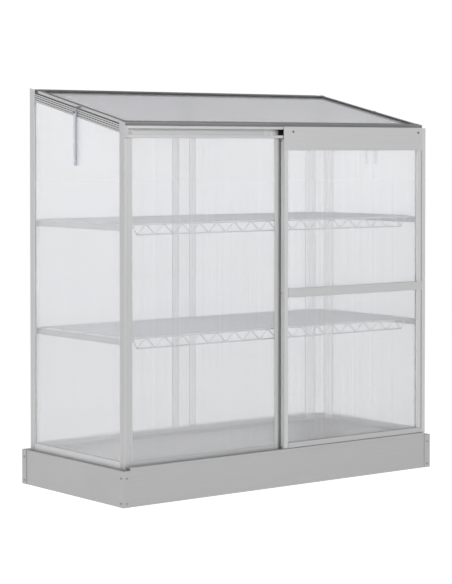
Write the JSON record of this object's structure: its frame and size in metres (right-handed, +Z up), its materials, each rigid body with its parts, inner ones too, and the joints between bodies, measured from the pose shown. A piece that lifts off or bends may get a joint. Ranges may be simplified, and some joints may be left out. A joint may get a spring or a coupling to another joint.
{
  "type": "mini greenhouse",
  "caption": "Lean-to mini greenhouse with translucent twin-wall sheets in aluminium rails, a hinged sloping lid on prop stays, a sliding front door, wire shelves and a sheet base.",
  "frame": {"origin": "on the ground, under the middle of the base", "axes": "+Z up, +X to the right seen from the door side, +Y towards the back wall"},
  "size_m": [1.2736, 0.5736, 1.275],
  "materials": {
    "base_sheet": "satin",
    "frame_aluminium": "satin",
    "twin_wall_sheet": "satin",
    "shelf_wire": "satin",
    "steel_fasteners": "satin",
    "prop_plastic": "satin",
    "roller_plastic": "matte"
  },
  "bodies": {
    "frame": {"back_mullion": "frame_aluminium", "back_panel_left": "twin_wall_sheet", "back_panel_right": "twin_wall_sheet", "back_top_rail": "frame_aluminium", "base_back_board": "base_sheet", "base_corner_back_left": "base_sheet", "base_corner_back_right": "base_sheet", "base_corner_front_left": "base_sheet", "base_corner_front_right": "base_sheet", "base_front_board": "base_sheet", "base_left_board": "base_sheet", "base_right_board": "base_sheet", "base_screws": "steel_fasteners", "bottom_rail_back": "frame_aluminium", "bottom_rail_front": "frame_aluminium", "bottom_rail_left": "frame_aluminium", "bottom_rail_right": "frame_aluminium", "bottom_track": "frame_aluminium", "door_jamb": "frame_aluminium", "front_fixed_panel": "twin_wall_sheet", "front_header": "frame_aluminium", "front_mullion": "frame_aluminium", "lower_shelf_deck": "shelf_wire", "lower_shelf_support_left": "frame_aluminium", "lower_shelf_support_right": "frame_aluminium", "lower_shelf_truss": "shelf_wire", "post_back_left": "frame_aluminium", "post_back_right": "frame_aluminium", "post_front_left": "frame_aluminium", "post_front_right": "frame_aluminium", "side_panel_left": "twin_wall_sheet", "side_panel_right": "twin_wall_sheet", "stay_pivot_bolts": "steel_fasteners", "top_rail_left": "frame_aluminium", "top_rail_right": "frame_aluminium", "track_end_plates": "frame_aluminium", "upper_shelf_deck": "shelf_wire", "upper_shelf_support_left": "frame_aluminium", "upper_shelf_support_right": "frame_aluminium", "upper_shelf_truss": "shelf_wire"},
    "door": {"door_head_board": "frame_aluminium", "door_stile_left": "frame_aluminium", "door_stile_right": "frame_aluminium", "door_mid_rail": "frame_aluminium", "door_bottom_rail": "frame_aluminium", "door_upper_pane": "twin_wall_sheet", "door_lower_pane": "twin_wall_sheet", "door_screws": "steel_fasteners"},
    "left_roller": {"roller_left": "roller_plastic", "roller_axle_left": "steel_fasteners"},
    "right_roller": {"roller_right": "roller_plastic", "roller_axle_right": "steel_fasteners"},
    "lid": {"lid_front_rail": "frame_aluminium", "lid_back_rail": "frame_aluminium", "lid_left_rail": "frame_aluminium", "lid_right_rail": "frame_aluminium", "lid_pane": "twin_wall_sheet", "lid_prop_pegs": "steel_fasteners"},
    "left_stay": {"stay_left": "prop_plastic"},
    "right_stay": {"stay_right": "prop_plastic"}
  },
  "joints": [
    {"name": "door_slide", "type": "slide", "parent": "frame", "child": "door", "axis": [1, 0, 0], "range_m": [-0.58, 0]},
    {"name": "left_roller_spin", "type": "hinge", "parent": "door", "child": "left_roller", "pos_m": [0.0306, -0.2728, 1.13442], "axis": [0, 1, 0], "range_deg": [-2916, 0]},
    {"name": "right_roller_spin", "type": "hinge", "parent": "door", "child": "right_roller", "pos_m": [0.579, -0.2728, 1.13442], "axis": [0, 1, 0], "range_deg": [-2916, 0]},
    {"name": "lid_hinge", "type": "hinge", "parent": "frame", "child": "lid", "pos_m": [0, 0.256, 1.26588], "axis": [-1, 0, 0], "range_deg": [0, 75]},
    {"name": "left_stay_pivot", "type": "hinge", "parent": "frame", "child": "left_stay", "pos_m": [-0.619, -0.003, 1.19364], "axis": [1, 0, 0], "range_deg": [-90, 186]},
    {"name": "right_stay_pivot", "type": "hinge", "parent": "frame", "child": "right_stay", "pos_m": [0.619, -0.003, 1.19364], "axis": [1, 0, 0], "range_deg": [-90, 186]}
  ],
  "couplings": [
    {"joint": "left_roller_spin", "follows": "door_slide", "rad_per_m": 87.719},
    {"joint": "right_roller_spin", "follows": "door_slide", "rad_per_m": 87.719}
  ]
}
